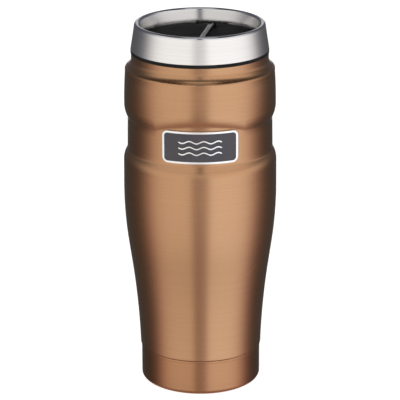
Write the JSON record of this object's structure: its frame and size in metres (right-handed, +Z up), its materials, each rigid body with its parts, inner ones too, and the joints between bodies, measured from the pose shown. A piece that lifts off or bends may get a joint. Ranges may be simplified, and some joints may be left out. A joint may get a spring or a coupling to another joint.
{
  "type": "insulated tumbler with lid",
  "caption": "Double-walled vacuum tumbler with a tapered body, a recessed band with a plain badge, and a screw-on steel-collared lid with a flip lever.",
  "frame": {"origin": "centre of the base, on the surface that the tumbler stands on", "axes": "+Z up along the centre axis, towards the lid; -Y towards the badge"},
  "size_m": [0.0826, 0.0824, 0.2003],
  "materials": {
    "copper_lacquer": "clear copper lacquer over finely brushed steel",
    "base_lacquer": "clear copper lacquer over brushed steel",
    "steel": "brushed",
    "collar_steel": "brushed with a polished lip",
    "copper_foil": "bright foil",
    "getter_grey": "sintered",
    "seal_glass": "fused",
    "adhesive": "foam adhesive",
    "badge_metal": "satin",
    "badge_enamel": "satin enamel",
    "black_plastic": "fine moulded texture",
    "silicone": "matte silicone"
  },
  "bodies": {
    "vessel": {"outer_shell": "copper_lacquer", "inner_vessel": "steel", "radiation_foil": "copper_foil", "getter": "getter_grey", "outer_bottom": "steel", "vacuum_seal_bead": "seal_glass", "base_bond_ring": "adhesive", "base_cup": "base_lacquer", "badge_adhesive": "adhesive", "badge_plate": "badge_metal", "badge_inlay": "badge_enamel"},
    "lid_seal": {"lid_gasket": "silicone"},
    "lid": {"lid_body": "black_plastic", "deck_insert": "black_plastic", "lid_collar": "collar_steel", "lid_lower_cover": "black_plastic", "hinge_pin": "steel"},
    "lever": {"flip_lever": "black_plastic", "port_seal": "silicone", "vent_seal": "silicone"}
  },
  "joints": [
    {"name": "lid_lift", "type": "slide", "parent": "vessel", "child": "lid_seal", "axis": [0, 0, 1], "range_m": [0, 0.024]},
    {"name": "lid_turn", "type": "hinge", "parent": "lid_seal", "child": "lid", "pos_m": [0, 0, 0.19], "axis": [0, 0, 1], "range_deg": [0, 720]},
    {"name": "lever_flip", "type": "hinge", "parent": "lid", "child": "lever", "pos_m": [0.0038, 0.02268, 0.1932], "axis": [-0.9863, 0.165, 0], "range_deg": [0, 100]}
  ],
  "couplings": [
    {"joint": "lid_lift", "follows": "lid_turn", "m_per_rad": 0.0019099}
  ]
}
